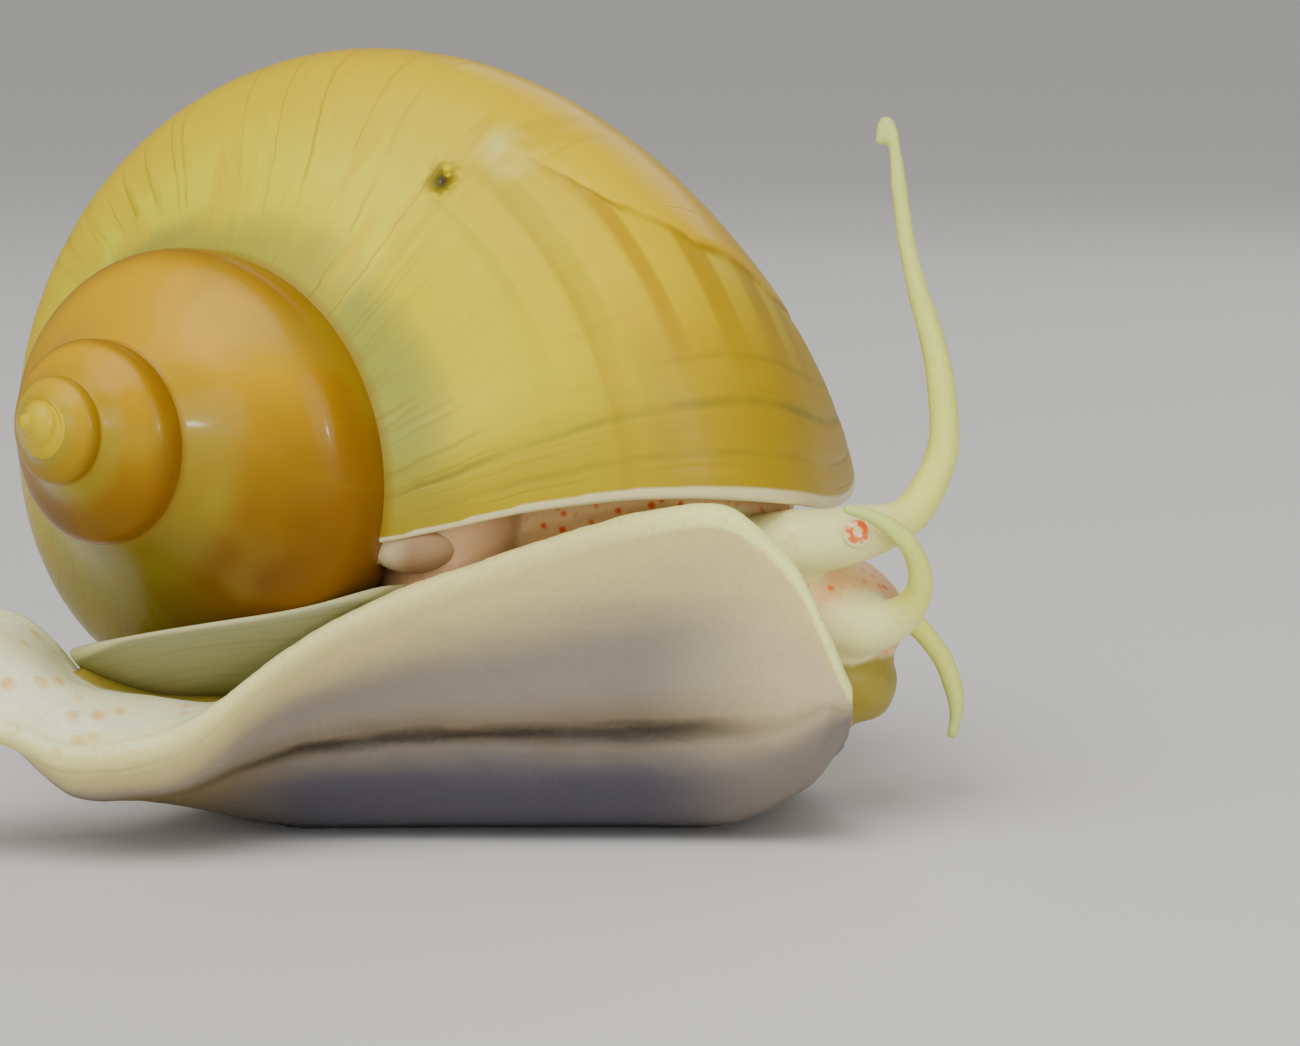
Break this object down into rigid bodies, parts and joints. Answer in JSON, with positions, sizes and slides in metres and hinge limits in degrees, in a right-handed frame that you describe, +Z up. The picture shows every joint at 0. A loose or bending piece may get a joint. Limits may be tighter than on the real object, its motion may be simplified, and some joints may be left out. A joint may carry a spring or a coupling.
{
  "type": "apple snail",
  "caption": "Crawling apple snail at life size: right-handed spiral shell, upturned foot with operculum, head with eyes, long tentacles and lip palps; a still model.",
  "frame": {"origin": "on the floor, under the middle of the snail's bounding box", "axes": "+X towards the snail's head, +Y to its left side, +Z up from the floor it crawls on"},
  "size_m": [0.0614, 0.0457, 0.0423],
  "materials": {
    "shell": "glossy golden yellow shell",
    "mantle": "moist pale flesh",
    "operculum": "greenish grey horn",
    "operculum_lobe": "moist pale flesh",
    "tail": "moist pale flesh",
    "foot_rear": "moist pale flesh",
    "foot_middle": "moist pale flesh",
    "foot_front": "moist pale flesh",
    "neck": "moist pale flesh",
    "head": "moist pale flesh",
    "snout": "moist pale flesh",
    "lips": "moist cream flesh",
    "siphon": "moist pale flesh",
    "eye_stalk_right": "moist cream flesh",
    "eye_stalk_left": "moist cream flesh",
    "eye_right": "wet orange red",
    "eye_left": "wet orange red",
    "tentacle_right_lower": "moist cream flesh",
    "tentacle_right_middle": "moist cream flesh",
    "tentacle_right_upper": "moist cream flesh",
    "palp_right_root": "moist cream flesh",
    "palp_right_tip": "moist cream flesh",
    "tentacle_left_lower": "moist cream flesh",
    "tentacle_left_middle": "moist cream flesh",
    "tentacle_left_upper": "moist cream flesh",
    "palp_left_root": "moist cream flesh",
    "palp_left_tip": "moist cream flesh"
  },
  "bodies": {
    "root": {"shell": "shell", "mantle": "mantle", "operculum": "operculum", "operculum_lobe": "operculum_lobe", "tail": "tail", "foot_rear": "foot_rear", "foot_middle": "foot_middle", "foot_front": "foot_front", "neck": "neck", "head": "head", "snout": "snout", "lips": "lips", "siphon": "siphon", "eye_stalk_right": "eye_stalk_right", "eye_stalk_left": "eye_stalk_left", "eye_right": "eye_right", "eye_left": "eye_left", "tentacle_right_lower": "tentacle_right_lower", "tentacle_right_middle": "tentacle_right_middle", "tentacle_right_upper": "tentacle_right_upper", "palp_right_root": "palp_right_root", "palp_right_tip": "palp_right_tip", "tentacle_left_lower": "tentacle_left_lower", "tentacle_left_middle": "tentacle_left_middle", "tentacle_left_upper": "tentacle_left_upper", "palp_left_root": "palp_left_root", "palp_left_tip": "palp_left_tip"}
  },
  "joints": []
}
